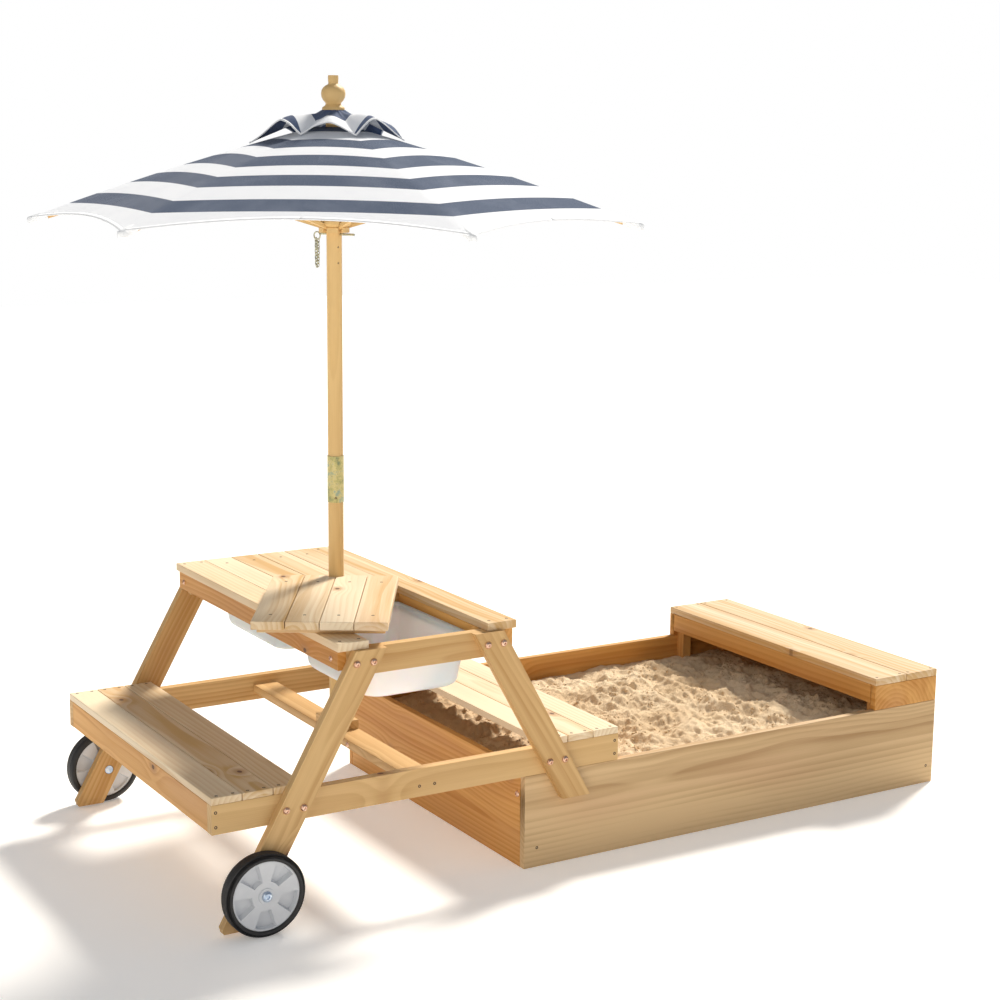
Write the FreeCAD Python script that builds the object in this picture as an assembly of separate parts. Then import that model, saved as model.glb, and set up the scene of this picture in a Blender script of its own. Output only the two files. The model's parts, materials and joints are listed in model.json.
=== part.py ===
import FreeCAD, Part
import math
import os
from FreeCAD import Vector

# Sand and water table: a picnic table on two wheels rolls along the side boards of a
# sandbox. Two tubs hang under the table's lids and a folding umbrella stands in its middle.
# Millimetres, +Z up. The origin is on the ground, under the centre of the sandbox.
# +X runs along the sandbox towards its seat, and -Y is the front.

os.makedirs("parts", exist_ok=True)

# ---- driving dimensions: sandbox ----
sandbox_length = 1224.0
sandbox_width = 860.0
board_thickness = 18.0
side_height = 216.0
plank_joint_height = 159.0
end_board_rise = 10.0
seat_depth = 203.0
seat_underside = 279.0
seat_thickness = 18.0
plank_gap = 1.5
post_size = 28.0
seat_rail_thickness = 14.0
seat_rail_height = 48.0
sand_level = 168.0

# ---- driving dimensions: table ----
table_offset = 247.0
frame_clearance = 0.6
rail_thickness = 22.0
rail_height = 62.0
leg_thickness = 20.0
leg_width_level = 72.0
leg_slope = 0.565
leg_top_half_spread = 178.0
top_frame_height = 562.0
top_rail_height = 58.0
apron_height = 42.0
top_board_thickness = 18.0
top_half_width = 215.0
edge_board_width = 72.0
top_overhang = 10.0
apron_thickness = 20.0
apron_outer = 211.0
rail_half_length = 495.0
bench_plank_width = 67.0
bench_plank_thickness = 16.0
bench_planks = 3
foot_height = 8.0
foot_chamfer = 12.0
short_leg_bottom = 156.0
tub_rail_thickness = 22.0
crossbar_width = 74.0
crossbar_height = 40.0
beam_width = 62.0
beam_bottom = 237.0
beam_thickness = 20.0
block_length = 100.0
block_height = 22.0
lid_planks = 4
lid_gap = 1.6
batten_width = 40.0
batten_thickness = 16.0
batten_half_length = 135.0
lid_swivel_deg = -31.0
rest_gap = 0.3

# ---- driving dimensions: tubs ----
tub_rim_top = 545.0
tub_rim_thickness = 3.0
tub_rim_half_width = 140.0
tub_bottom = 430.0
tub_wall = 3.0
tub_draft = 15.0
ledge_height = 12.5
ledge_width = 14.0

# ---- driving dimensions: wheels and bolts ----
wheel_radius = 88.5
wheel_width = 36.0
hub_radius = 75.0
wheel_gap = 3.0
axle_offset = 402.0
axle_radius = 5.0
bolt_radius = 3.0
bolt_head_radius = 7.0
bolt_head_height = 4.0
bolt_spacing = 39.0
upper_bolt_height = 535.0
lower_bolt_height = 248.0
bolt_nut_radius = 5.0
axle_nut_radius = 10.0
axle_nut_height = 6.0
hole_clearance = 0.3

# ---- driving dimensions: umbrella ----
mast_radius = 17.5
upper_mast_radius = 17.1
mast_hole_radius = 18.3
lid_notch_radius = 21.0
mast_split = 840.0
ferrule_bottom = 786.0
ferrule_top = 892.0
ferrule_radius = 18.8
mast_top = 1659.0
rib_angle = 26.7
ribs = 6
rib_slope_deg = 16.67
rib_length = 677.0
rib_width = 8.0
rib_depth = 12.0
pivot_radius = 28.0
rib_pivot_height = 1606.0
runner_pivot_height = 1406.0
strut_depth = 9.0
fork_length = 52.0
fork_gap = 9.0
fork_prong = 3.0
rivet_radius = 2.0
pivot_wire_radius = 1.5
notch_width = 9.6
hub_radius_top = 36.0
hub_bottom = 1592.0
hub_top = 1620.0
runner_bottom = 1393.0
runner_top = 1419.0
runner_collar_radius = 34.0
runner_radius = 42.0
fabric_thickness = 2.4
fabric_lift = 7.5
canopy_hole = 46.0
hem_cut = 45.0
cap_top = 1654.0
cap_radius = 188.0
cap_hole = 25.0
cap_arch = 50.0
pin_height = 1389.5
pin_radius = 2.5
pin_angle = -63.3
pin_reach = 55.0
pin_head = 37.0
ring_radius = 8.5
ring_wire = 1.5

half_length = sandbox_length / 2
half_width = sandbox_width / 2
front = -half_width
inner_front = front + board_thickness
table_x = -half_length - table_offset
frame_half = half_width + frame_clearance
rail_inner = frame_half - rail_thickness
tub_rail_inner = top_half_width - edge_board_width


def box(x0, x1, y0, y1, z0, z1):
    return Part.makeBox(x1 - x0, y1 - y0, z1 - z0, Vector(x0, y0, z0))


def side_profile(points, y0, y1):
    """A flat board cut to an outline seen from the front, from y0 to y1."""
    corners = [Vector(x, y0, z) for x, z in points]
    return Part.Face(Part.makePolygon(corners + corners[:1])).extrude(Vector(0, y1 - y0, 0))


def rod(x, y, z, direction, radius, length):
    return Part.makeCylinder(radius, length, Vector(x, y, z), Vector(*direction))


def turned(profile, x, y):
    """A turned part: (radius, height) corners spun about an upright axis."""
    corners = [Vector(r, 0, z) for r, z in profile]
    spun = Part.Face(Part.makePolygon(corners + corners[:1])).revolve(Vector(), Vector(0, 0, 1), 360)
    spun.translate(Vector(x, y, 0))
    return spun


def drill(solid, tools):
    for tool in tools:
        solid = solid.cut(tool)
    return solid


def mirrored(solids, x=None):
    """The same solids on the other side: across y = 0, or across an upright plane at x."""
    base, normal = (Vector(), Vector(0, 1, 0)) if x is None else (Vector(x, 0, 0), Vector(1, 0, 0))
    return [s.mirror(base, normal) for s in solids]


def save(node, *solids):
    pieces = [one for s in solids for one in s.Solids]
    for piece in pieces:
        assert piece.isValid() and piece.Volume > 0, node
    shape = pieces[0] if len(pieces) == 1 else Part.makeCompound(pieces)
    shape.exportStep(f"parts/{node}.step")


# ---- sandbox ----
def stacked_boards(x0, x1, y0, y1, top):
    return [
        box(x0, x1, y0, y1, 0, plank_joint_height),
        box(x0, x1, y0, y1, plank_joint_height, top),
    ]


def build_sandbox():
    end_top = side_height + end_board_rise
    sides = stacked_boards(-half_length, half_length, front, inner_front, side_height)
    save("front_side_boards", *sides)
    save("back_side_boards", *mirrored(sides))
    left_end = stacked_boards(
        -half_length, -half_length + board_thickness, inner_front, -inner_front, end_top)
    right_end = stacked_boards(
        half_length - board_thickness, half_length, inner_front, -inner_front, seat_underside)
    reach = rail_inner - frame_clearance
    for side in (1, -1):
        ends = sorted((side * reach, side * half_width))
        left_end[1] = left_end[1].cut(box(-half_length, 0, *ends, side_height, end_top + 1))
    save("sandbox_end_boards", *left_end, *right_end)

    seat_front = half_length - seat_depth
    post_x = [
        (-half_length + board_thickness, side_height),
        (seat_front + seat_rail_thickness, seat_underside),
        (half_length - board_thickness - post_size, seat_underside),
    ]
    posts = [box(x, x + post_size, inner_front, inner_front + post_size, 0, top) for x, top in post_x]
    posts += mirrored(posts)
    save("corner_posts", *posts)

    riser = box(seat_front, half_length, front, inner_front, side_height, seat_underside)
    rail = box(seat_front, seat_front + seat_rail_thickness, inner_front, -inner_front,
               seat_underside - seat_rail_height, seat_underside)
    save("seat_supports", rail, riser, *mirrored([riser]))

    plank = (seat_depth - plank_gap) / 2
    planks = []
    for start in (seat_front, seat_front + plank + plank_gap):
        planks.append(box(start, start + plank, front, -front,
                          seat_underside, seat_underside + seat_thickness))
    save("sandbox_seat_planks", *planks)

    sand = box(-half_length + board_thickness, half_length - board_thickness,
               inner_front, -inner_front, 0, sand_level)
    save("sand", drill(sand, posts))

    head = rod(-half_length, inner_front + 12.0, 168.0, (-1, 0, 0), bolt_head_radius, bolt_head_height)
    save("sandbox_bolts", head, *mirrored([head]))


# ---- table frame ----
def leg_edge(height):
    """Distance of a leg's outer edge from the table's middle, at a height."""
    return leg_top_half_spread + leg_slope * (top_frame_height - height)


def bolt_places():
    """(x from the table's middle, height) of the bolts of one leg on the left side."""
    places = []
    for height in (upper_bolt_height, lower_bolt_height):
        middle = -leg_edge(height) + leg_width_level / 2
        places += [(middle - bolt_spacing / 2, height), (middle + bolt_spacing / 2, height)]
    return places


def frame_bolts(radius, start, length):
    """Rods along +Y at the bolts of both front legs."""
    tools = []
    for x, z in bolt_places():
        for side in (1, -1):
            tools.append(rod(table_x + side * x, start, z, (0, 1, 0), radius, length))
    return tools


def build_legs():
    outer = -frame_half - leg_thickness
    top, foot = top_frame_height, foot_height
    long_leg = [
        (-leg_edge(top), top),
        (-leg_edge(top) + leg_width_level, top),
        (-leg_edge(foot) + leg_width_level, foot),
        (-leg_edge(foot) + foot_chamfer * 0.9, foot),
        (-leg_edge(foot + foot_chamfer), foot + foot_chamfer),
    ]
    low = short_leg_bottom
    short_leg = [
        (leg_edge(top), top),
        (leg_edge(top) - leg_width_level, top),
        (leg_edge(low) - leg_width_level, low),
        (leg_edge(low), low),
    ]
    holes = frame_bolts(bolt_radius + hole_clearance, outer - 1, leg_thickness + 2)
    axle_hole = rod(table_x - axle_offset, outer - 1, wheel_radius, (0, 1, 0),
                    axle_radius + hole_clearance, leg_thickness + 2)
    nut_seat = rod(table_x - axle_offset, -frame_half - axle_nut_height - 1, wheel_radius, (0, 1, 0),
                   axle_nut_radius + 1, axle_nut_height + 2)
    for name, outline in (("left", long_leg), ("right", short_leg)):
        points = [(table_x + x, z) for x, z in outline]
        leg = drill(side_profile(points, outer, -frame_half), holes + [axle_hole, nut_seat])
        save(f"front_{name}_leg", leg)
        save(f"back_{name}_leg", *mirrored([leg]))


def build_frame():
    holes = frame_bolts(bolt_radius + hole_clearance, -frame_half - 1, rail_thickness + 2)
    span = apron_outer - apron_thickness
    top_rail = box(table_x - span, table_x + span, -frame_half, -rail_inner,
                   top_frame_height - top_rail_height, top_frame_height)
    low = side_height + 0.5
    bench_rail = box(table_x - rail_half_length, table_x + rail_half_length, -frame_half, -rail_inner,
                     low, low + rail_height)
    for node, rail in (("top_rails", top_rail), ("bench_rails", bench_rail)):
        rail = drill(rail, holes)
        save(node, rail, *mirrored([rail]))

    apron = box(table_x - apron_outer, table_x - span, -frame_half, frame_half,
                top_frame_height - apron_height, top_frame_height)
    save("table_aprons", apron, *mirrored([apron], table_x))
    tub_rail = box(table_x - tub_rail_inner - tub_rail_thickness, table_x - tub_rail_inner,
                   -rail_inner, rail_inner, top_frame_height - apron_height, top_frame_height)
    save("tub_rails", tub_rail, *mirrored([tub_rail], table_x))

    mast_hole = rod(table_x, 0, 0, (0, 0, 1), mast_hole_radius, mast_top)
    crossbar = box(table_x - tub_rail_inner, table_x + tub_rail_inner,
                   -crossbar_width / 2, crossbar_width / 2,
                   top_frame_height - crossbar_height, top_frame_height)
    save("centre_crossbar", drill(crossbar, [mast_hole]))

    ledge_top = tub_rim_top - tub_rim_thickness - rest_gap
    ledge = box(table_x - tub_rail_inner, table_x - tub_rail_inner + ledge_width,
                -rail_inner + 6.0, -crossbar_width / 2, ledge_top - ledge_height, ledge_top)
    ledges = [ledge] + mirrored([ledge], table_x)
    save("tub_ledges", *ledges, *mirrored(ledges))

    reach = half_width + top_overhang
    board = box(table_x - top_half_width, table_x - tub_rail_inner, -reach, reach,
                top_frame_height, top_frame_height + top_board_thickness)
    save("top_edge_boards", board, *mirrored([board], table_x))

    bench_top = low + rail_height
    planks = []
    for k in range(bench_planks):
        start = table_x - rail_half_length + k * (bench_plank_width + plank_gap)
        planks.append(box(start, start + bench_plank_width, -frame_half, frame_half,
                          bench_top, bench_top + bench_plank_thickness))
    save("left_bench_planks", *planks)
    save("right_bench_planks", *mirrored(planks, table_x))
    fascia = box(table_x - rail_half_length, table_x - rail_half_length + rail_thickness,
                 -rail_inner, rail_inner, low, bench_top)
    save("bench_fascias", fascia, *mirrored([fascia], table_x))

    beam = box(table_x - beam_width / 2, table_x + beam_width / 2, -rail_inner, rail_inner,
               beam_bottom, beam_bottom + beam_thickness)
    save("mast_beam", beam)
    block = box(table_x - beam_width / 2, table_x + beam_width / 2, -block_length / 2, block_length / 2,
                beam_bottom + beam_thickness, beam_bottom + beam_thickness + block_height)
    save("mast_block", drill(block, [mast_hole]))


def build_fasteners():
    """Dome-headed bolts through the legs and rails, and the two axle bolts."""
    face = -frame_half - leg_thickness
    through = leg_thickness + rail_thickness
    bolts = []
    for shank, head, nut in zip(
        frame_bolts(bolt_radius, face, through + 4),
        frame_bolts(bolt_head_radius, face - bolt_head_height, bolt_head_height),
        frame_bolts(bolt_nut_radius, -rail_inner, 4),
    ):
        bolts.append(head.fuse(shank).fuse(nut).removeSplitter())
    save("frame_bolts", *bolts, *mirrored(bolts))

    x, z = table_x - axle_offset, wheel_radius
    outer_face = face - wheel_gap - wheel_width
    nut_start = -frame_half - axle_nut_height - 0.5
    axle = rod(x, outer_face - 5.5, z, (0, 1, 0), axle_radius, nut_start - outer_face + 5.5)
    head = rod(x, outer_face - 6.0, z, (0, 1, 0), 9.0, 5.5)
    nut = rod(x, nut_start, z, (0, 1, 0), axle_nut_radius, axle_nut_height)
    axle = axle.fuse(head).fuse(nut).removeSplitter()
    save("axle_bolts", axle, *mirrored([axle]))


def build_wheels():
    x, z = table_x - axle_offset, wheel_radius
    outer = -frame_half - leg_thickness - wheel_gap - wheel_width
    crown = 5.0
    tread = [
        (hub_radius, 0), (wheel_radius - crown, 0), (wheel_radius, crown),
        (wheel_radius, wheel_width - crown), (wheel_radius - crown, wheel_width), (hub_radius, wheel_width),
    ]
    rim, web, boss = 6.0, 9.0, 17.0
    bore = axle_radius + hole_clearance
    hub = [
        (bore, 2), (boss, 2), (boss, web), (hub_radius - rim, web), (hub_radius - rim, 2), (hub_radius, 2),
        (hub_radius, wheel_width - 2), (hub_radius - rim, wheel_width - 2), (hub_radius - rim, 2 * web),
        (boss, 2 * web), (boss, wheel_width), (bore, wheel_width),
    ]
    for node, outline in (("tyre", tread), ("wheel_hub", hub)):
        wheel = turned(outline, 0, 0)
        wheel.rotate(Vector(), Vector(1, 0, 0), -90)
        wheel.translate(Vector(x, outer, z))
        save(f"front_{node}", wheel)
        save(f"back_{node}", *mirrored([wheel]))


# ---- lids and tubs ----
def lid(far_side):
    """Planks and battens of the lid behind the mast, or of the one in front of it."""
    low = top_frame_height + rest_gap
    width = (2 * tub_rail_inner - 1.0 - (lid_planks - 1) * lid_gap) / lid_planks
    notch = rod(table_x, 0, 0, (0, 0, 1), lid_notch_radius, mast_top)
    reach = half_width + top_overhang
    planks = []
    for k in range(lid_planks):
        start = table_x - tub_rail_inner + 0.5 + k * (width + lid_gap)
        plank = box(start, start + width, lid_gap, reach, low, low + top_board_thickness)
        planks.append(plank.cut(notch))
    battens = []
    for start in (50.0, 360.0):
        battens.append(box(table_x - batten_half_length, table_x + batten_half_length,
                           start, start + batten_width, low - batten_thickness, low))
    solids = planks + battens
    return solids if far_side else mirrored(solids)


def build_lids():
    save("far_lid", *lid(True))
    lifted = lid(False)
    for solid in lifted:
        solid.translate(Vector(0, 0, top_board_thickness + batten_thickness + rest_gap))
        solid.rotate(Vector(table_x, 0, 0), Vector(0, 0, 1), lid_swivel_deg)
    save("near_lid", *lifted)


def rectangle(half_x, y0, y1, z):
    corners = [(-half_x, y0), (half_x, y0), (half_x, y1), (-half_x, y1), (-half_x, y0)]
    return Part.makePolygon([Vector(table_x + x, y, z) for x, y in corners])


def build_tubs():
    rim_low = tub_rim_top - tub_rim_thickness
    mouth = tub_rail_inner - ledge_width - 2.0
    y0, y1 = -rail_inner + 16.0, -crossbar_width / 2 - 16.0

    def shell(inset, low, high):
        upper = rectangle(mouth - inset, y0 + inset, y1 - inset, high)
        floor_inset = inset + tub_draft
        lower = rectangle(mouth - floor_inset, y0 + floor_inset, y1 - floor_inset, low)
        return Part.makeLoft([lower, upper], True, True)

    rim = box(table_x - tub_rim_half_width, table_x + tub_rim_half_width, y0 - 12, y1 + 12,
              rim_low, tub_rim_top)
    mouth_tool = box(table_x - mouth + tub_wall, table_x + mouth - tub_wall,
                     y0 + tub_wall, y1 - tub_wall, rim_low - 1, tub_rim_top + 1)
    body = shell(0, tub_bottom, rim_low).cut(shell(tub_wall, tub_bottom + tub_wall, rim_low))
    tub = body.fuse(rim.cut(mouth_tool)).removeSplitter()
    save("front_tub", tub)
    save("back_tub", *mirrored([tub]))


# ---- umbrella ----
def at_rib(shape, k):
    """Turn a shape made along +X from the mast axis to rib k, and stand it on the mast."""
    placed = shape.copy()
    placed.rotate(Vector(), Vector(0, 0, 1), rib_angle + k * 360.0 / ribs)
    placed.translate(Vector(table_x, 0, 0))
    return placed


def tilted(shape, degrees, height):
    """Slope a bar made along +X from its pivot, and lift the pivot to its place."""
    shape.rotate(Vector(), Vector(0, 1, 0), degrees)
    shape.translate(Vector(pivot_radius, 0, height))
    return shape


strut_length = (rib_pivot_height - runner_pivot_height) / 2 / math.sin(math.radians(rib_slope_deg))


def pivot_wire():
    """The short wire that a rib or a strut swings on, in its notch."""
    return rod(0, -notch_width / 2 + 0.1, 0, (0, 1, 0), pivot_wire_radius, notch_width - 0.2)


def rib():
    bar = box(-3, rib_length, -rib_width / 2, rib_width / 2, -rib_depth / 2, rib_depth / 2)
    half_rivet = fork_gap / 2 + fork_prong + 1
    rivet = rod(strut_length, -half_rivet, 0, (0, 1, 0), rivet_radius, 2 * half_rivet)
    bar = bar.fuse(rivet).fuse(pivot_wire())
    return tilted(bar.removeSplitter(), rib_slope_deg, rib_pivot_height)


def strut():
    half_depth, half_gap = strut_depth / 2, fork_gap / 2
    half_fork = half_gap + fork_prong
    neck = strut_length - fork_length
    bar = box(-4, neck, -rib_width / 2, rib_width / 2, -half_depth, half_depth)
    fork = box(neck - 12, strut_length + 3.6, -half_fork, half_fork, -half_depth, half_depth)
    slot = box(neck, strut_length + 6, -half_gap, half_gap, -half_depth - 1, half_depth + 1)
    hole = rod(strut_length, -half_fork - 1, 0, (0, 1, 0), rivet_radius + hole_clearance, 2 * half_fork + 2)
    bar = bar.fuse(fork).cut(slot).cut(hole).fuse(pivot_wire()).removeSplitter()
    return tilted(bar, -rib_slope_deg, runner_pivot_height)


def polar(radius, degrees, height):
    turn = math.radians(degrees)
    return Vector(radius * math.cos(turn), radius * math.sin(turn), height)


def sheet(triangles):
    """A cloth panel: flat pieces that share their edges, as one thin solid."""
    pieces = []
    for corners in triangles:
        face = Part.Face(Part.makePolygon(list(corners) + [corners[0]]))
        pieces.append(face.extrude(Vector(0, 0, fabric_thickness)))
    return pieces[0].fuse(pieces[1:]).removeSplitter()


def rib_line(radius):
    """Height of the cloth's underside above a rib, at a distance from the mast."""
    slope = math.radians(rib_slope_deg)
    return rib_pivot_height + fabric_lift / math.cos(slope) - (radius - pivot_radius) * math.tan(slope)


def canopy_panel():
    """The cloth over one rib, out to the middle of the panel on each side of it."""
    half_turn = 180.0 / ribs
    shrink = math.cos(math.radians(half_turn))
    tip = pivot_radius + rib_length * math.cos(math.radians(rib_slope_deg)) + 2.0
    rise = (rib_line(canopy_hole) - rib_line(tip)) / ((tip - canopy_hole) * shrink)
    flat = hem_cut / math.hypot(1, rise)
    peak, hem = polar(canopy_hole, 0, rib_line(canopy_hole)), polar(tip, 0, rib_line(tip))
    triangles = []
    for side in (1, -1):
        turn = side * half_turn
        top = polar(canopy_hole * shrink, turn, rib_line(canopy_hole))
        low = polar(tip * shrink - flat, turn, rib_line(tip) + flat * rise)
        triangles.append((peak, hem, low, top))
    return sheet(triangles)


def cap_panel():
    """The vent cap over one rib: its corner lies on the canopy, its edges arch up."""
    half_turn = 180.0 / ribs
    shrink = math.cos(math.radians(half_turn))
    corner_z = rib_line(cap_radius) + fabric_thickness + 1.0
    peak, corner = polar(cap_hole, 0, cap_top), polar(cap_radius, 0, corner_z)
    triangles = []
    for side in (1, -1):
        turn = side * half_turn
        top = polar(cap_hole * shrink, turn, cap_top)
        low = polar(cap_radius * shrink, turn, corner_z + cap_arch)
        triangles += [(peak, corner, low), (peak, low, top)]
    return sheet(triangles)


def notched(blank, floor_radius):
    """Cut the six upright notches that the ribs or struts swing in."""
    for k in range(ribs):
        notch = box(floor_radius, runner_radius + 5, -notch_width / 2, notch_width / 2, 0, mast_top)
        blank = blank.cut(at_rib(notch, k))
    return blank


def build_umbrella():
    lower = beam_bottom + beam_thickness + rest_gap
    save("lower_mast", rod(table_x, 0, lower, (0, 0, 1), mast_radius, mast_split - lower))
    tube = rod(table_x, 0, ferrule_bottom, (0, 0, 1), ferrule_radius, ferrule_top - ferrule_bottom)
    bore = rod(table_x, 0, ferrule_bottom, (0, 0, 1), mast_radius, ferrule_top - ferrule_bottom)
    save("mast_ferrule", tube.cut(bore))

    pin_way = polar(1, pin_angle, 0)
    far_way = polar(1, pin_angle + 180, 0)
    start = Vector(table_x, 0, pin_height) + far_way * pin_head
    pin = Part.makeCylinder(pin_radius, pin_head + pin_reach, start, pin_way)
    pin_hole = Part.makeCylinder(pin_radius + hole_clearance, 60, Vector(table_x, 0, pin_height) + far_way * 30,
                                 pin_way)
    upper = rod(table_x, 0, mast_split + 0.5, (0, 0, 1), upper_mast_radius, mast_top - mast_split - 0.5)
    save("upper_mast", upper.cut(pin_hole))

    ring_centre = Vector(table_x, 0, pin_height - 5.0) + far_way * (pin_head + ring_radius + ring_wire + 0.5)
    ring = Part.makeTorus(ring_radius, ring_wire, ring_centre, polar(1, pin_angle + 90, 0))
    save("locking_pin", pin, ring)

    hub = turned([(upper_mast_radius, hub_bottom), (hub_radius_top - 3, hub_bottom),
                  (hub_radius_top, hub_bottom + 4), (hub_radius_top, hub_top - 4),
                  (hub_radius_top - 4, hub_top), (upper_mast_radius, hub_top)], table_x, 0)
    save("top_hub", notched(hub, upper_mast_radius + 3.5))

    bore_radius = upper_mast_radius + 0.5
    step = runner_bottom + 11
    runner = turned([(bore_radius, runner_bottom), (runner_collar_radius, runner_bottom),
                     (runner_collar_radius, step), (runner_collar_radius - 2.5, step + 1.5),
                     (runner_radius, runner_top - 7), (runner_radius, runner_top),
                     (bore_radius, runner_top)], table_x, 0)
    save("runner", notched(runner, bore_radius + 3.5))

    base = mast_top
    finial = turned([(0, base), (25, base), (25, base + 5), (17, base + 12), (18, base + 17),
                     (26, base + 30), (27.5, base + 38), (25, base + 47), (13, base + 54), (10.5, base + 57),
                     (11.5, base + 60), (11.5, base + 75), (0, base + 75)], table_x, 0)
    save("finial", finial)

    shapes = {"rib": rib(), "strut": strut()}
    panel, cap = canopy_panel(), cap_panel()
    for k in range(ribs):
        for name, shape in shapes.items():
            save(f"{name}_{k + 1}", at_rib(shape, k))
        save(f"canopy_panel_{k + 1}", at_rib(panel, k), at_rib(cap, k))


build_sandbox()
build_legs()
build_frame()
build_fasteners()
build_wheels()
build_lids()
build_tubs()
build_umbrella()
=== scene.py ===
# %% [markdown]
# # A sand and water table, built around its frame
# The joiner's model gives every board, bolt and pole its place. This lesson dresses it: boards get
# eased edges and grain, the box gets loose sand, the umbrella gets striped cloth. All lengths are
# metres, and every piece keeps its place in its mesh, so its object stays at the origin.

# %% Load the frame
import bmesh
import bpy
import json
import math
import numpy
from mathutils import Matrix, Vector, noise


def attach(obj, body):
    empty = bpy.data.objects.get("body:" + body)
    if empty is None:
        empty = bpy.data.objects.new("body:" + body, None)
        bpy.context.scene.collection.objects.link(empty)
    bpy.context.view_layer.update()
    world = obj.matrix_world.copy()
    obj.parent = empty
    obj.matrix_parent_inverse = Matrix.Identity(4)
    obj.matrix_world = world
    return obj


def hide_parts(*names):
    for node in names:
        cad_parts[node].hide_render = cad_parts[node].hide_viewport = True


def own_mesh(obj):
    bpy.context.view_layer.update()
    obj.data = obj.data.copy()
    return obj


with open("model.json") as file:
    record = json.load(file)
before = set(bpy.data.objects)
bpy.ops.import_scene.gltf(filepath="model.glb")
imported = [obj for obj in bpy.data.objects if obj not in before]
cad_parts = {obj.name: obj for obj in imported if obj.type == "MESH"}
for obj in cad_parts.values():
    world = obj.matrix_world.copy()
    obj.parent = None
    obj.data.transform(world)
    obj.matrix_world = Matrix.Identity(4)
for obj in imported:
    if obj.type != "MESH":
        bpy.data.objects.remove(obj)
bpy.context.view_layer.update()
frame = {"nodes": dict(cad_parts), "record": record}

table_x = -0.859
mast_hinge_radius, hinge_height = 0.028, 1.606
sand_half_length, sand_half_width, sand_ceiling = 0.594, 0.412, 0.2105
body_of = {}
for body, nodes in frame["record"]["behaviour"]["bodies"].items():
    for node in nodes:
        body_of[node] = body

# %% [markdown]
# ## Camera, floor and light
# The camera stands at a grown-up's eye height, in front and to the left. Its direction comes from a
# yaw, a pitch and a roll, turned into the three axes of its matrix, which is clearer than Euler
# angles. The main light is a wide soft sun from behind and to the right, so the tops are bright and
# the near faces are shaded. The pale floor throws warm light back, and the sky is faintly blue.

# %% Camera
yaw, pitch, roll = math.radians(31.25), math.radians(10.59), math.radians(0.55)
ahead = Vector((math.cos(pitch) * math.sin(yaw), math.cos(pitch) * math.cos(yaw), -math.sin(pitch)))
level = Vector((math.cos(yaw), -math.sin(yaw), 0))
above = level.cross(ahead)
right = math.cos(roll) * level + math.sin(roll) * above
upward = math.cos(roll) * above - math.sin(roll) * level
turn = Matrix((right, upward, -ahead)).transposed().to_4x4()
lens = bpy.data.cameras.new("camera")
lens.lens = 69.5
lens.clip_end = 60
camera = bpy.data.objects.new("camera", lens)
camera.matrix_world = Matrix.Translation((-2.7795, -3.885, 1.600)) @ turn
bpy.context.collection.objects.link(camera)
bpy.context.scene.camera = camera
print("camera at", tuple(camera.location))


# %% Light and world
def panel_light(name, place, aim, size, power, colour=(1, 1, 1)):
    """A square soft light at a place, facing a point."""
    lamp = bpy.data.lights.new(name, "AREA")
    lamp.size = size
    lamp.energy = power
    lamp.color = colour
    light = bpy.data.objects.new(name, lamp)
    light.location = place
    light.rotation_euler = (Vector(aim) - Vector(place)).to_track_quat("-Z", "Y").to_euler()
    bpy.context.collection.objects.link(light)


def soft_sun(bearing, height, power, width, colour):
    """Even light from a far, wide lamp: its bearing from +X and its height are in degrees."""
    lamp = bpy.data.lights.new("soft_sun", "SUN")
    lamp.energy, lamp.angle, lamp.color = power, math.radians(width), colour
    light = bpy.data.objects.new("soft_sun", lamp)
    b, h = math.radians(bearing), math.radians(height)
    towards = Vector((math.cos(h) * math.cos(b), math.cos(h) * math.sin(b), math.sin(h)))
    light.rotation_euler = towards.to_track_quat("Z", "Y").to_euler()
    bpy.context.collection.objects.link(light)


def sky_world(level, strength):
    """A dim sky for the light, and plain white where the camera looks past the floor."""
    world = bpy.data.worlds.new("pale_sky")
    world.use_nodes = True
    tree = world.node_tree
    tree.nodes["Background"].inputs["Color"].default_value = (*level, 1)
    tree.nodes["Background"].inputs["Strength"].default_value = strength
    white = tree.nodes.new("ShaderNodeBackground")
    seen, both = tree.nodes.new("ShaderNodeLightPath"), tree.nodes.new("ShaderNodeMixShader")
    tree.links.new(seen.outputs["Is Camera Ray"], both.inputs[0])
    tree.links.new(tree.nodes["Background"].outputs[0], both.inputs[1])
    tree.links.new(white.outputs[0], both.inputs[2])
    white.inputs["Color"].default_value = (1, 1, 1, 1)
    tree.links.new(both.outputs[0], tree.nodes["World Output"].inputs["Surface"])
    bpy.context.scene.world = world


soft_sun(30, 42, 5.3, 12, (1.0, 0.94, 0.85))
panel_light("near_panel", (-4.6, -3.4, 2.4), (-0.7, 0, 0.5), 3.0, 50, (1.0, 0.90, 0.76))
sky_world((0.84, 0.90, 1.0), 0.30)
bpy.context.scene.view_settings.view_transform = "Standard"

# %% [markdown]
# ## Writing node trees as formulas
# A material is a sum of masks and noises. Placing Math nodes by hand hides that sum, so a small
# class wraps a socket and turns +, -, * and / into Math nodes. One function adds any other node,
# and it serves both shader trees and geometry trees.


# %% The node helpers
def add_node(tree, kind, settings=None, **links):
    """Add a node: its settings first, then the values or links of its sockets."""
    node = tree.nodes.new(kind)
    for key, value in (settings or {}).items():
        if key == "stops":
            ramp = node.color_ramp
            while len(ramp.elements) < len(value):
                ramp.elements.new(0.5)
            for element, (place, colour) in zip(ramp.elements, value):
                element.position = place
                element.color = (*colour, 1) if len(colour) == 3 else colour
        else:
            setattr(node, key, value)
    for key, value in links.items():
        socket = node.inputs[int(key[1:])] if key[0] == "i" and key[1:].isdigit() else None
        socket = socket or node.inputs[key.replace("_", " ")]
        value = getattr(value, "socket", value)
        if isinstance(value, bpy.types.NodeSocket):
            tree.links.new(value, socket)
        else:
            socket.default_value = value
    return node


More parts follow.
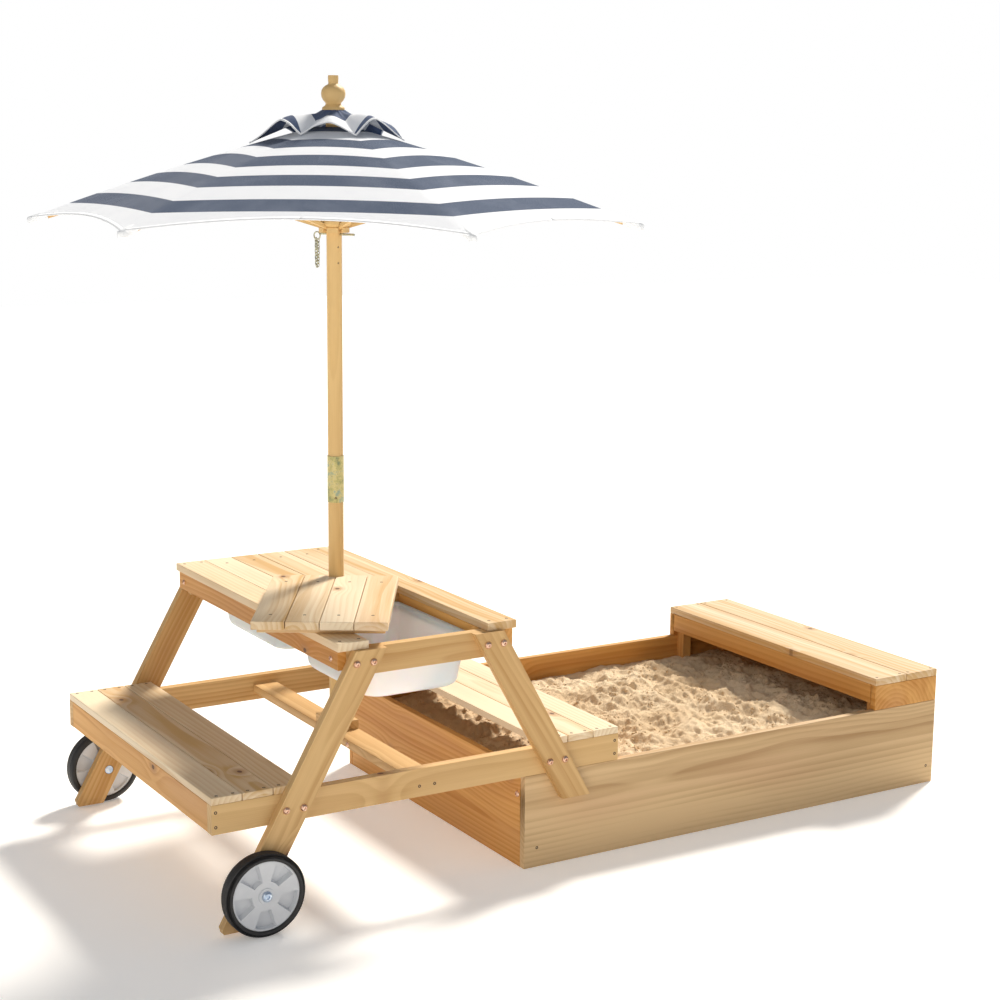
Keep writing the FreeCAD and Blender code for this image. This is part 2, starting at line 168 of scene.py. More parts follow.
class Sum:
    """A number socket that takes part in formulas."""

    def __init__(self, paint, socket):
        self.paint = paint
        self.socket = socket

    def do(self, operation, *others):
        return self.paint.math(operation, self, *others)

    def __add__(self, other):
        return self.do("ADD", other)

    def __sub__(self, other):
        return self.do("SUBTRACT", other)

    def __mul__(self, other):
        return self.do("MULTIPLY", other)

    def __truediv__(self, other):
        return self.do("DIVIDE", other)

    def __rsub__(self, other):
        return self.paint.math("SUBTRACT", other, self)

    __radd__ = __add__
    __rmul__ = __mul__

    def step(self, low, high):
        """0 below low, 1 above high, smooth between; low may be the larger one."""
        links = {"Value": self, "From_Min": low, "From_Max": high}
        return self.paint.node("ShaderNodeMapRange", {"interpolation_type": "SMOOTHSTEP"}, **links)


class Paint:
    """A material whose nodes are added by name and whose maths is written as formulas."""

    def __init__(self, name):
        self.material = bpy.data.materials.new(name)
        self.material.use_nodes = True
        self.tree = self.material.node_tree
        self.shader = self.tree.nodes["Principled BSDF"]

    def node(self, kind, settings=None, out=0, **links):
        return Sum(self, add_node(self.tree, kind, settings, **links).outputs[out])

    def math(self, operation, *values):
        links = {f"i{n}": value for n, value in enumerate(values)}
        return self.node("ShaderNodeMath", {"operation": operation}, **links)

    def place(self):
        return self.node("ShaderNodeTexCoord", out="Object")

    def parts(self, vector):
        split = add_node(self.tree, "ShaderNodeSeparateXYZ", None, Vector=vector)
        return [Sum(self, split.outputs[n]) for n in range(3)]

    def join(self, x, y, z):
        return self.node("ShaderNodeCombineXYZ", X=x, Y=y, Z=z)

    def noise(self, vector, scale, detail=3.0, rough=0.55, out="Fac"):
        return self.node("ShaderNodeTexNoise", out=out, Vector=vector, Scale=scale, Detail=detail,
                         Roughness=rough)

    def mix(self, mask, first, second):
        ends = [(*c, 1) if isinstance(c, tuple) and len(c) == 3 else c for c in (first, second)]
        return self.node("ShaderNodeMix", {"data_type": "RGBA"}, out=2, i0=mask, i6=ends[0], i7=ends[1])

    def bump(self, height, depth, strength=1.0):
        return self.node("ShaderNodeBump", Height=height, Distance=depth, Strength=strength)

    def done(self, **sockets):
        for key, value in sockets.items():
            socket = self.shader.inputs[key.replace("_", " ")]
            value = getattr(value, "socket", value)
            if isinstance(value, bpy.types.NodeSocket):
                self.tree.links.new(value, socket)
            else:
                socket.default_value = (*value, 1) if isinstance(value, tuple) else value
        return self.material


print("node helpers ready")

# %% [markdown]
# ## Natural fir
# Fir is pale between its yearly rings and brown on them. A board shows the rings as long arches,
# because the saw cuts a cone of rings at a slant, and broad brown streaks where the heartwood
# starts. So the rings are made in the round: the distance from a core line that runs beside the
# board, bent by slow noise. Every board carries its own coordinates along its length, so the end
# grain, the slanted legs and the turned lids come right.


# %% Fir
def fir(name, pale, tan, ring=0.011, contrast=0.5, streak=1.0, spread=0.55):
    paint = Paint(name)
    grain = paint.node("ShaderNodeAttribute", {"attribute_name": "grain"}, out="Vector")
    along, across, deep = paint.parts(grain)
    seed = paint.node("ShaderNodeAttribute", {"attribute_name": "board"}, out="Fac")
    second = (seed * 7.31).do("FRACT")
    third = (seed * 23.7).do("FRACT")
    slow = paint.join(along * 1.1 + seed * 37.0, across * 4.0, deep * 4.0)
    sway = paint.noise(slow, 1.0, 2.0) - 0.5
    knots = paint.join(along + seed * 91.0, across * 1.5 + third * 9.0, 0.0)
    voronoi = {"feature": "F1", "voronoi_dimensions": "2D"}
    knot = paint.node("ShaderNodeTexVoronoi", voronoi, out="Distance", Vector=knots, Scale=3.4)
    chosen = paint.parts(paint.node("ShaderNodeTexVoronoi", voronoi, out="Color", Vector=knots, Scale=3.4))[0]
    here = chosen.step(0.60, 0.62)
    bend = (knot * knot * -50.0).do("EXPONENT") * here
    off_y = across + (second - 0.5) * 0.12 + sway * 0.075
    off_z = deep + 0.012 + third * 0.05 + sway * 0.02
    distance = (off_y * off_y + off_z * off_z).do("SQRT") + bend * 0.018
    year = (distance / ring + sway * 2.0).do("FRACT")
    late = year.step(0.15, 0.85) * year.step(1.0, 0.9)
    fibre = paint.noise(paint.join(along * 9.0 + seed * 5.0, across * 520.0, deep * 520.0), 1.0, 2.0)
    stripe = paint.join(along * 0.55 + seed * 17.0, across * 26.0 + distance * 22.0, deep * 15.0)
    band = paint.noise(stripe, 1.0, 2.5)
    core = paint.join(along * 0.4 + seed * 63.0, across * 9.0 + distance * 9.0, deep * 9.0)
    heart = paint.noise(core, 1.0, 1.5)
    tone = late * contrast * band + (fibre - 0.5) * 0.3 + (band - 0.5) * streak + (heart - 0.5) * streak * 1.3
    tone = (tone + 0.28 + (second - 0.5) * spread).do("MAXIMUM", 0.0).do("MINIMUM", 1.2)
    colour = paint.mix(tone, pale, tan)
    rosy = paint.noise(paint.join(along * 1.5, across * 6.0 + seed * 11.0, deep * 6.0), 1.0, 1.0)
    colour = paint.mix(rosy.step(0.5, 0.8) * 0.3, colour, (0.60, 0.33, 0.19))
    eye = knot.step(0.030, 0.020) * here
    halo = knot.step(0.11, 0.02) * 0.6 * here
    colour = paint.mix(halo, colour, (0.40, 0.19, 0.07))
    colour = paint.mix(eye * 0.9, colour, (0.13, 0.055, 0.022))
    rough = 0.52 + (fibre - 0.5) * 0.25 + late * 0.06
    height = fibre * 0.6 - late * 0.25 - eye * 0.6
    return paint.done(Base_Color=colour, Roughness=rough, Normal=paint.bump(height, 0.0004, 0.6),
                      Specular_IOR_Level=0.3)


pale_fir = fir("pale_fir", (0.86, 0.71, 0.50), (0.60, 0.37, 0.15), streak=1.3, spread=0.8)
side_fir = fir("side_fir", (0.70, 0.49, 0.26), (0.36, 0.20, 0.075), streak=1.3, spread=0.4)
tan_fir = fir("tan_fir", (0.74, 0.50, 0.23), (0.45, 0.24, 0.075), streak=0.9)
amber_fir = fir("amber_fir", (0.78, 0.43, 0.13), (0.50, 0.21, 0.04), streak=1.0)
turned_fir = fir("turned_fir", (0.84, 0.59, 0.27), (0.60, 0.37, 0.13), 0.012, 0.25, 0.3, 0.1)
print("fir for tops, sides, frame, ends and turned parts")

# %% [markdown]
# ## Boards with eased edges
# A sawn board has its edges broken with sandpaper. The frame's boards are sharp, so each is copied,
# its loose triangles are merged, its flat faces are rejoined and its edges are bevelled. The same
# step finds each board's long axis and writes its grain coordinates on the mesh.


# %% Eased boards
def islands(bm):
    """The separate boards of a mesh, each a list of vertices."""
    left = set(bm.verts)
    groups = []
    while left:
        start = left.pop()
        group, queue = [start], [start]
        while queue:
            for edge in queue.pop().link_edges:
                for vert in edge.verts:
                    if vert in left:
                        left.remove(vert)
                        group.append(vert)
                        queue.append(vert)
        groups.append(group)
    return groups


def lay_grain(bm, key, upright=False):
    """Write each board's own coordinates, long axis first, and a number that tells boards apart."""
    grain = bm.verts.layers.float_vector.new("grain")
    board = bm.verts.layers.float.new("board")
    groups = islands(bm)
    groups.sort(key=lambda g: tuple(round(c, 4) for c in sum((v.co for v in g), Vector()) / len(g)))
    for number, group in enumerate(groups):
        points = numpy.array([v.co[:] for v in group])
        low, high = points.min(axis=0), points.max(axis=0)
        centre = (low + high) / 2
        axes = numpy.linalg.svd(points - points.mean(axis=0), full_matrices=False)[2]
        if upright:
            axes = numpy.array([[0, 0, 1.0], [1.0, 0, 0], [0, 1.0, 0]])
        axes = [a if a[numpy.argmax(abs(a))] > 0 else -a for a in axes]
        seed = math.fmod(abs(math.sin(key * 12.9898 + number * 78.233)) * 43.7585, 1.0)
        for vert in group:
            offset = numpy.array(vert.co[:]) - centre
            vert[grain] = [float(offset @ a) for a in axes]
            vert[board] = seed
    return len(groups)


def keep_piece(name, bm, body, material, replaced=(), smooth=True):
    """Turn a bmesh into a finished piece that rides on a body."""
    mesh = bpy.data.meshes.new(name)
    bm.to_mesh(mesh)
    bm.free()
    piece = bpy.data.objects.new(name, mesh)
    bpy.context.collection.objects.link(piece)
    mesh.materials.append(material)
    mesh.polygons.foreach_set("use_smooth", [smooth] * len(mesh.polygons))
    if replaced:
        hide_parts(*replaced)
    if body:
        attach(piece, body)
    return piece


def eased(node, material, width=0.0016, upright=False, sharp=38):
    """A CAD node's boards again, with broken edges and grain."""
    bm = bmesh.new()
    bm.from_mesh(frame["nodes"][node].data)
    bmesh.ops.remove_doubles(bm, verts=bm.verts, dist=0.00001)
    bmesh.ops.dissolve_limit(bm, angle_limit=math.radians(0.6), verts=bm.verts, edges=bm.edges)
    corners = [e for e in bm.edges if e.is_manifold and e.calc_face_angle(0) > math.radians(sharp)]
    bmesh.ops.bevel(bm, geom=corners, offset=width, segments=2, profile=0.5, affect="EDGES",
                    clamp_overlap=True, loop_slide=True)
    boards = lay_grain(bm, len(node) + sum(map(ord, node)) % 97, upright)
    piece = keep_piece(node + "_eased", bm, body_of[node], material, (node,))
    piece.modifiers.new("flat_faces", "WEIGHTED_NORMAL").keep_sharp = False
    return boards


kinds = {
    pale_fir: ["sandbox_seat_planks", "top_edge_boards", "left_bench_planks", "right_bench_planks", "far_lid",
               "near_lid"],
    side_fir: ["front_side_boards"],
    tan_fir: ["front_left_leg", "front_right_leg", "back_left_leg", "back_right_leg", "top_rails",
              "bench_rails", "centre_crossbar", "tub_ledges", "mast_block", "mast_beam"],
    amber_fir: ["sandbox_end_boards", "corner_posts", "table_aprons", "tub_rails", "bench_fascias",
                "back_side_boards", "seat_supports"],
}
count = sum(eased(node, wood) for wood, nodes in kinds.items() for node in nodes)
for k in range(1, 7):
    count += eased(f"rib_{k}", turned_fir, width=0.001) + eased(f"strut_{k}", turned_fir, width=0.0008)
for node in ("lower_mast", "upper_mast", "top_hub", "runner"):
    count += eased(node, turned_fir, width=0.0008, upright=True)
print(count, "boards eased")


# %% Turned shapes
def bridge(bm, rings, around=True):
    """Faces between each ring and the next; rows that aren't closed leave out the last gap."""
    for a, b in zip(rings, rings[1:]):
        for s in range(len(a) if around else len(a) - 1):
            t = (s + 1) % len(a)
            bm.faces.new((a[s], a[t], b[t], b[s]))


def lathe(profile, segments=32, wobble=None):
    """Spin (radius, height) points about Z into a closed bmesh with outward faces."""
    bm = bmesh.new()
    rings = []
    for n, (radius, height) in enumerate(profile):
        if radius <= 0:
            rings.append([bm.verts.new((0, 0, height))])
            continue
        ring = []
        for s in range(segments):
            angle = 2 * math.pi * s / segments
            reach = radius * (wobble(n, angle) if wobble else 1.0)
            ring.append(bm.verts.new((reach * math.cos(angle), reach * math.sin(angle), height)))
        rings.append(ring)
    for lower, upper in zip(rings, rings[1:]):
        for s in range(segments):
            t = (s + 1) % segments
            if len(lower) == 1:
                bm.faces.new((lower[0], upper[s], upper[t]))
            elif len(upper) == 1:
                bm.faces.new((lower[s], lower[t], upper[0]))
            else:
                bm.faces.new((lower[s], lower[t], upper[t], upper[s]))
    bmesh.ops.recalc_face_normals(bm, faces=bm.faces)
    return bm


# %% The turned finial
finial_profile = [(0, 0.0002), (0.0245, 0.0002), (0.0250, 0.0030), (0.0240, 0.0060), (0.0190, 0.0090),
                  (0.0166, 0.0130), (0.0180, 0.0165), (0.0225, 0.0210), (0.0258, 0.0280), (0.0268, 0.0350),
                  (0.0258, 0.0420), (0.0225, 0.0480), (0.0170, 0.0525), (0.0120, 0.0550), (0.0105, 0.0580),
                  (0.0112, 0.0620), (0.0115, 0.0680), (0.0112, 0.0745), (0, 0.0750)]
bm = lathe(finial_profile, 48)
bmesh.ops.translate(bm, verts=bm.verts, vec=(table_x, 0, 1.659))
lay_grain(bm, 3, True)
finial = keep_piece("finial_turned", bm, "umbrella_pole", turned_fir, ("finial",))
finial.data.set_sharp_from_angle(angle=math.radians(50))
print("finial", len(finial.data.polygons), "faces")

# %% [markdown]
# ## Loose sand
# Raked and dug sand is heaps, hollows and crumbs. The heaps are slow noise, the hollows are soft
# bowls, and ridged noise gives the dug edges. A grid pushed up by that sum is lighter and easier to
# steer than a simulation of grains. The crumbs are scattered over it afterwards by geometry nodes.


# %% Sand surface
def sand_height(x, y):
    """Height of the sand at a place in the box."""
    slow = noise.fractal(Vector((x * 2.6 + 3.1, y * 2.6, 0.4)), 1.0, 2.0, 3)
    dug = noise.ridged_multi_fractal(Vector((x * 9.0, y * 9.0 + 5.2, 1.7)), 0.8, 2.1, 5, 1.0, 2.0)
    lumps = noise.fractal(Vector((x * 26, y * 26, 8.1)), 0.9, 2.0, 3)
    fine = noise.fractal(Vector((x * 60, y * 60, 2.2)), 0.8, 2.0, 4)
    edge = max(0.0, min(1.0, (sand_half_length - abs(x)) / 0.06, (sand_half_width - abs(y)) / 0.06))
    heap = 0.016 * math.exp(-((x - 0.02) ** 2 + (y - 0.05) ** 2) / 0.05)
    heap += 0.012 * math.exp(-((x - 0.33) ** 2 + (y + 0.12) ** 2) / 0.03)
    bowl = 0.020 * math.exp(-((x - 0.10) ** 2 + (y + 0.14) ** 2) / 0.004)
    fall = 0.010 * (y / sand_half_width + 1) / 2
    bowl += 0.014 * math.exp(-((x + 0.28) ** 2 + (y - 0.20) ** 2) / 0.01) + fall
    rough = 0.3 + 0.7 * edge
    dug_part = 0.017 * (dug - 1.15) * rough + 0.006 * lumps * rough
    return 0.166 + 0.013 * slow + dug_part + 0.0042 * fine * rough + heap - bowl


def sand_grid(bm, half_length, half_width, columns, rows, sunk=0.0, keep=None):
    """Push a level grid up to the sand's height; keep says which squares get a face."""
    grid = []
    for i in range(columns + 1):
        x = -half_length + 2 * half_length * i / columns
        line = []
        for j in range(rows + 1):
            y = -half_width + 2 * half_width * j / rows
            line.append(bm.verts.new((x, y, min(sand_ceiling, sand_height(x, y)) - sunk)))
        grid.append(line)
    for i in range(columns):
        for j in range(rows):
            if keep is None or keep(grid[i][j].co):
                bm.faces.new((grid[i][j], grid[i + 1][j], grid[i + 1][j + 1], grid[i][j + 1]))
    return grid


def build_sand(columns=300, rows=208):
    bm = bmesh.new()
    grid = sand_grid(bm, sand_half_length, sand_half_width, columns, rows)
    rim = [grid[i][0] for i in range(columns + 1)] + [grid[columns][j] for j in range(1, rows + 1)]
    rim += [grid[i][rows] for i in range(columns - 1, -1, -1)] + [grid[0][j] for j in range(rows - 1, 0, -1)]
    foot = [bm.verts.new((v.co.x, v.co.y, 0.0)) for v in rim]
    for n, vert in enumerate(rim):
        after = (n + 1) % len(rim)
        bm.faces.new((foot[n], foot[after], rim[after], vert))
    bm.faces.new(foot[::-1])
    return bm


def sand_paint(name, light, dark):
    paint = Paint(name)
    place = paint.place()
    patch = paint.noise(place, 5.0, 4.0)
    grains = paint.noise(place, 900.0, 2.0)
    speck = paint.noise(place, 1700.0, 1.0)
    colour = paint.mix(patch.step(0.3, 0.7), dark, light)
    colour = paint.mix((grains - 0.35) * 0.8, colour, (0.84, 0.70, 0.52))
    colour = paint.mix(speck.step(0.62, 0.72) * 0.5, colour, (0.25, 0.17, 0.10))
    height = grains * 0.6 + speck * 0.3 + paint.noise(place, 160.0, 3.0)
    return paint.done(Base_Color=colour, Roughness=0.95, Normal=paint.bump(height, 0.0026, 0.9),
                      Specular_IOR_Level=0.1)


play_sand = sand_paint("play_sand", (0.90, 0.71, 0.48), (0.72, 0.52, 0.31))
sand = keep_piece("loose_sand", build_sand(), "sandbox", play_sand, ("sand",))
print("sand", len(sand.data.polygons), "faces")

# %% [markdown]
# ## Rows of small things
# Screws, bolts, stitches, chain links and crumbs all repeat. One geometry tree puts a small shape on
# every point of a mesh and turns it to face the way that the point says. The points are cheap to
# list, and one tree serves every row. The result is realised and kept as a plain mesh.


# %% The row tree
def new_tree(name, sockets):
    tree = bpy.data.node_groups.new(name, "GeometryNodeTree")
    tree.interface.new_socket("Geometry", in_out="INPUT", socket_type="NodeSocketGeometry")
    for label, kind in sockets:
        tree.interface.new_socket(label, in_out="INPUT", socket_type=kind)
    tree.interface.new_socket("Geometry", in_out="OUTPUT", socket_type="NodeSocketGeometry")
    return tree, tree.nodes.new("NodeGroupInput"), tree.nodes.new("NodeGroupOutput")


def end_rows(tree, start, end, points, shape, turn_by, size):
    """Put the shape on every point, make the copies real and give them their finish."""
    spread = add_node(tree, "GeometryNodeInstanceOnPoints", None, Points=points,
                      Instance=shape.outputs["Geometry"], Rotation=turn_by, Scale=size)
    real = add_node(tree, "GeometryNodeRealizeInstances", None, Geometry=spread.outputs[0])
    finish = add_node(tree, "GeometryNodeSetMaterial", None, Geometry=real.outputs[0],
                      Material=start.outputs["Finish"])
    tree.links.new(finish.outputs[0], end.inputs[0])
    return tree


def row_tree():
    """Shapes on points: turned to 'facing', then twisted by 'twist', then made real."""
    sockets = [("Shape", "NodeSocketObject"), ("Size", "NodeSocketFloat"), ("Finish", "NodeSocketMaterial")]
    tree, start, end = new_tree("small_things_in_rows", sockets)
    facing = add_node(tree, "GeometryNodeInputNamedAttribute", {"data_type": "FLOAT_VECTOR"}, Name="facing")
    side = add_node(tree, "GeometryNodeInputNamedAttribute", {"data_type": "FLOAT_VECTOR"}, Name="side")
    scale = add_node(tree, "GeometryNodeInputNamedAttribute", {"data_type": "FLOAT"}, Name="scale")
    stand = add_node(tree, "FunctionNodeAlignRotationToVector", {"axis": "Z"}, Vector=facing.outputs[0])
    lie = add_node(tree, "FunctionNodeAlignRotationToVector", {"axis": "X", "pivot_axis": "Z"},
                   Rotation=stand.outputs[0], Vector=side.outputs[0])
    shape = add_node(tree, "GeometryNodeObjectInfo", {"transform_space": "ORIGINAL"},
                     Object=start.outputs["Shape"])
    size = add_node(tree, "ShaderNodeMath", {"operation": "MULTIPLY"}, i0=start.outputs["Size"],
                    i1=scale.outputs[0])
    return end_rows(tree, start, end, start.outputs["Geometry"], shape, lie.outputs[0], size.outputs[0])


def grown(name, mesh, tree, values):
    """Run a geometry tree on a mesh and keep the result as a plain mesh object."""
    piece = bpy.data.objects.new(name, mesh)
    bpy.context.collection.objects.link(piece)
    modifier = piece.modifiers.new("rows", "NODES")
    modifier.node_group = tree
    for item in tree.interface.items_tree:
        if item.item_type == "SOCKET" and item.in_out == "INPUT" and item.name in values:
            modifier[item.identifier] = values[item.name]
    bpy.context.view_layer.update()
    result = bpy.data.meshes.new_from_object(piece.evaluated_get(bpy.context.evaluated_depsgraph_get()))
    piece.modifiers.remove(modifier)
    piece.data = result
    result.name = name
    return piece


rows = row_tree()


def place_row(name, spots, shape, size, material, body, replaced=()):
    """One shape at every spot (place, facing, side, scale), as one piece on a body."""
    mesh = bpy.data.meshes.new(name + "_spots")
    mesh.from_pydata([s[0] for s in spots], [], [])
    for label, index in (("facing", 1), ("side", 2)):
        layer = mesh.attributes.new(label, "FLOAT_VECTOR", "POINT")
        for n, spot in enumerate(spots):
            layer.data[n].vector = spot[index]
    layer = mesh.attributes.new("scale", "FLOAT", "POINT")
    for n, spot in enumerate(spots):
        layer.data[n].value = spot[3] if len(spot) > 3 else 1.0
    piece = grown(name, mesh, rows, {"Shape": shape, "Size": size, "Finish": material})
    if replaced:
        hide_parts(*replaced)
    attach(piece, body)
    return piece


# %% Small shapes
def pattern_shape(name, bm, smooth=True):
    """A small shape that rows repeat; it isn't linked, so it never shows itself."""
    mesh = bpy.data.meshes.new(name)
    bm.to_mesh(mesh)
    bm.free()
    mesh.polygons.foreach_set("use_smooth", [smooth] * len(mesh.polygons))
    mesh.set_sharp_from_angle(angle=math.radians(40))
    return bpy.data.objects.new(name, mesh)


def hexagon(n, angle):
    """Pull the socket's rings in to a six-sided hole."""
    turn_in_flat = (angle % (math.pi / 3)) - math.pi / 6
    return math.cos(math.pi / 6) / math.cos(turn_in_flat) if n >= 7 else 1.0


dome = pattern_shape("dome_head", lathe(
    [(0, -0.001), (0.0072, -0.001), (0.0072, 0.0004), (0.0066, 0.0020), (0.0054, 0.0033), (0.0038, 0.0041),
     (0.0033, 0.0043), (0.0031, 0.0042), (0.0029, 0.0020), (0, 0.0018)], 24, hexagon))
nut = pattern_shape("hex_nut", lathe(
    [(0, 0), (0.0078, 0), (0.0078, 0.0042), (0.0068, 0.0048), (0.0036, 0.0048), (0.0034, 0.0070),
     (0, 0.0074)], 6), False)
screw = pattern_shape("screw_head", lathe(
    [(0, -0.001), (0.0036, -0.001), (0.0036, 0.0001), (0.0032, 0.00025), (0.0016, 0.0003), (0.0012, -0.0004),
     (0, -0.0005)], 16))
print("dome, nut and screw shapes ready")


# %% [markdown]
# ## Metal finishes
# The bolts are copper-coloured zinc, the ferrule is yellow zinc with faint rainbow patches, and the
# pin and chain are bright. A plated surface is smooth with slow patches, so noise moves its colour
# and its roughness a little.


# %% Metals
def plated(name, first, second, rough, scale=60.0, metal=1.0):
    paint = Paint(name)
    place = paint.place()
    patch = paint.noise(place, scale, 3.0)
    scuff = paint.noise(place, scale * 12, 2.0)
    colour = paint.mix(patch.step(0.35, 0.65), first, second)
    return paint.done(Base_Color=colour, Roughness=rough + (scuff - 0.5) * 0.2, Metallic=metal,
                      Normal=paint.bump(scuff, 0.0001, 0.4))


def rainbow_zinc():
    paint = Paint("yellow_zinc")
    place = paint.place()
    patch = paint.noise(place, 45.0, 4.0, 0.7)
    ramp = [(0.30, (0.16, 0.20, 0.13)), (0.45, (0.42, 0.38, 0.16)), (0.55, (0.56, 0.47, 0.22)),
            (0.66, (0.26, 0.34, 0.26)), (0.78, (0.44, 0.27, 0.22))]
    colour = paint.node("ShaderNodeValToRGB", {"stops": ramp}, Fac=patch)
    speck = paint.noise(place, 420.0, 2.0)
    colour = paint.mix(speck.step(0.58, 0.7) * 0.5, colour, (0.16, 0.17, 0.10))
    return paint.done(Base_Color=colour, Roughness=0.36 + (speck - 0.5) * 0.3, Metallic=0.95,
                      Normal=paint.bump(speck, 0.0002, 0.4))


copper_zinc = plated("copper_zinc", (0.62, 0.36, 0.24), (0.74, 0.52, 0.40), 0.30, 90)
bright_zinc = plated("bright_zinc", (0.62, 0.63, 0.64), (0.78, 0.78, 0.76), 0.28)
brass_zinc = plated("brass_zinc", (0.34, 0.34, 0.24), (0.62, 0.60, 0.42), 0.34, 200)
blue_zinc = plated("blue_zinc", (0.42, 0.54, 0.72), (0.66, 0.74, 0.84), 0.30, 120)
# Screw heads are very dark brown: partly aged metal, partly painted shade of the countersunk hole round each
# head. The same finish darkens the pole's holes.
aged_screw_and_hole_shade = plated("aged_screw_and_hole_shade", (0.07, 0.045, 0.03), (0.14, 0.09, 0.055), 0.7, 300, 0.1)
ferrule_zinc = rainbow_zinc()

# %% [markdown]
# ## Bolts and screws
# Dome-headed bolts hold the legs to the rails, with nuts inside, and each plank is screwed down at
# its ends. The places follow the frame's own measurements.


# %% Bolt and screw places
def leg_bolts():
    """(x from the table's middle, height) of one leg's four bolts."""
    spots = []
    for height in (0.535, 0.248):
        middle = 0.178 + 0.565 * (0.562 - height) - 0.036
        spots += [(middle - 0.0195, height), (middle + 0.0195, height)]
    return spots


face, inner = 0.4506, 0.4086
domes, nuts = [], []
for side in (-1, 1):
    for hand in (-1, 1):
        for x, z in leg_bolts():
            domes.append(((table_x + hand * x, side * face, z), (0, side, 0), (1, 0, 0)))
            nuts.append(((table_x + hand * x, side * inner, z), (0, -side, 0), (1, 0, 0)))
place_row("frame_bolt_heads", domes, dome, 1.1, copper_zinc, "table", ("frame_bolts",))
place_row("frame_bolt_nuts", nuts, nut, 1.0, bright_zinc, "table")

loose = [((table_x - 0.031, -0.115, 0.247), (-1, 0, 0), (0, 1, 0))]
for y in (-0.40, 0.40):
    for hand in (-1, 1):
        loose.append(((table_x + hand * 0.211, y, 0.540), (hand, 0, 0), (0, 1, 0)))
place_row("table_bolt_heads", loose, dome, 0.85, copper_zinc, "table")

box_bolts = [((-0.612, y, 0.168), (-1, 0, 0), (0, 1, 0)) for y in (-0.400, 0.400)]
place_row("sandbox_bolt_heads", box_bolts, dome, 1.0, copper_zinc, "sandbox", ("sandbox_bolts",))

up = (0, 0, 1)
table_screws, box_screws = [], []
for n in range(3):
    for hand in (-1, 1):
        x = table_x + hand * (0.495 - 0.0335 - n * 0.0685)
        for side in (-1, 1):
            for shift in (-0.018, 0.018):
                table_screws.append(((x + shift, side * 0.4196, 0.2945), up, (1, 0, 0)))
for hand in (-1, 1):
    for side in (-1, 1):
        for shift in (-0.022, 0.022):
            table_screws.append(((table_x + hand * 0.179 + shift, side * 0.420, 0.580), up, (1, 0, 0)))
        for z in (0.232, 0.263):
            table_screws.append(((table_x + hand * 0.486, side * 0.4306, z), (0, side, 0), (1, 0, 0)))
        table_screws.append(((table_x + hand * 0.0185, side * 0.4306, 0.240), (0, side, 0), (1, 0, 0)))
for side in (-1, 1):
    for x in (0.422, 0.497, 0.524, 0.600):
        box_screws.append(((x, side * 0.418, 0.297), up, (1, 0, 0)))
    for x in (-0.578, 0.590):
        box_screws.append(((x, side * 0.430, 0.045), (0, side, 0), (1, 0, 0)))
    box_screws.append(((0.612, side * 0.39, 0.25), (1, 0, 0), (0, 1, 0)))
place_row("table_screws", table_screws, screw, 1.0, aged_screw_and_hole_shade, "table")
place_row("sandbox_screws", box_screws, screw, 1.0, aged_screw_and_hole_shade, "sandbox")


def lid_screws(side, turn_by, top):
    spin = Matrix.Rotation(turn_by, 4, "Z")
    spots = []
    for n in range(4):
        x = -0.1425 + 0.035 + n * 0.07165
        for y in (0.070, 0.380):
            spot = spin @ Vector((x, side * y, 0))
            spots.append(((table_x + spot.x, spot.y, top), up, (1, 0, 0)))
    return spots


place_row("far_lid_screws", lid_screws(1, 0, 0.5803), screw, 1.0, aged_screw_and_hole_shade, "far_lid_body")
place_row("near_lid_screws", lid_screws(-1, math.radians(-31), 0.6146), screw, 1.0, aged_screw_and_hole_shade,
          "near_lid_body")
print(len(domes) + len(loose) + len(box_bolts), "bolts,", len(table_screws) + len(box_screws) + 16, "screws")

# %% [markdown]
# ## Crumbs on the sand
# Damp sand breaks into crumbs. They are rough little lumps, pressed half into the surface. Their
# places come from a seeded scatter in the tree, so every run gives the same sand.


# %% Crumbs
def crumb_tree():
    sockets = [("Density", "NodeSocketFloat"), ("Seed", "NodeSocketInt"), ("Smallest", "NodeSocketFloat"),
               ("Largest", "NodeSocketFloat"), ("Shape", "NodeSocketObject"),
               ("Finish", "NodeSocketMaterial")]
    tree, start, end = new_tree("crumbs_on_sand", sockets)
    spots = add_node(tree, "GeometryNodeDistributePointsOnFaces", {"distribute_method": "RANDOM"},
                     Mesh=start.outputs["Geometry"], Density=start.outputs["Density"],
                     Seed=start.outputs["Seed"])
    shape = add_node(tree, "GeometryNodeObjectInfo", {"transform_space": "ORIGINAL"},
                     Object=start.outputs["Shape"])
    size = add_node(tree, "FunctionNodeRandomValue", {"data_type": "FLOAT"}, i2=start.outputs["Smallest"],
                    i3=start.outputs["Largest"], i8=start.outputs["Seed"])
    spin = add_node(tree, "FunctionNodeRandomValue", {"data_type": "FLOAT_VECTOR"}, i1=(6.2, 6.2, 6.2),
                    i8=7)
    return end_rows(tree, start, end, spots.outputs[0], shape, spin.outputs[0], size.outputs[1])


def crumb_shape():
    bm = bmesh.new()
    bmesh.ops.create_icosphere(bm, subdivisions=2, radius=1.0)
    for vert in bm.verts:
        vert.co *= 0.8 + 0.5 * noise.noise(vert.co * 1.7)
        vert.co.z *= 0.7
    return pattern_shape("crumb", bm)


def build_crumbs():
    """Scatter on a copy of the sand's top that stays clear of the walls."""
    bm = bmesh.new()
    sand_grid(bm, 0.575, 0.393, 120, 84, 0.0005,
              lambda at: noise.noise(Vector((at.x * 6, at.y * 6, 4.0))) > -0.12)
    mesh = bpy.data.meshes.new("crumb_ground")
    bm.to_mesh(mesh)
    bm.free()
    values = {"Density": 2900.0, "Seed": 11, "Smallest": 0.0012, "Largest": 0.0052,
              "Shape": crumb_shape(), "Finish": play_sand}
    crumbs = grown("sand_crumbs", mesh, crumb_tree(), values)
    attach(crumbs, "sandbox")
    return crumbs


crumbs = build_crumbs()
print("crumbs", len(crumbs.data.polygons), "faces")

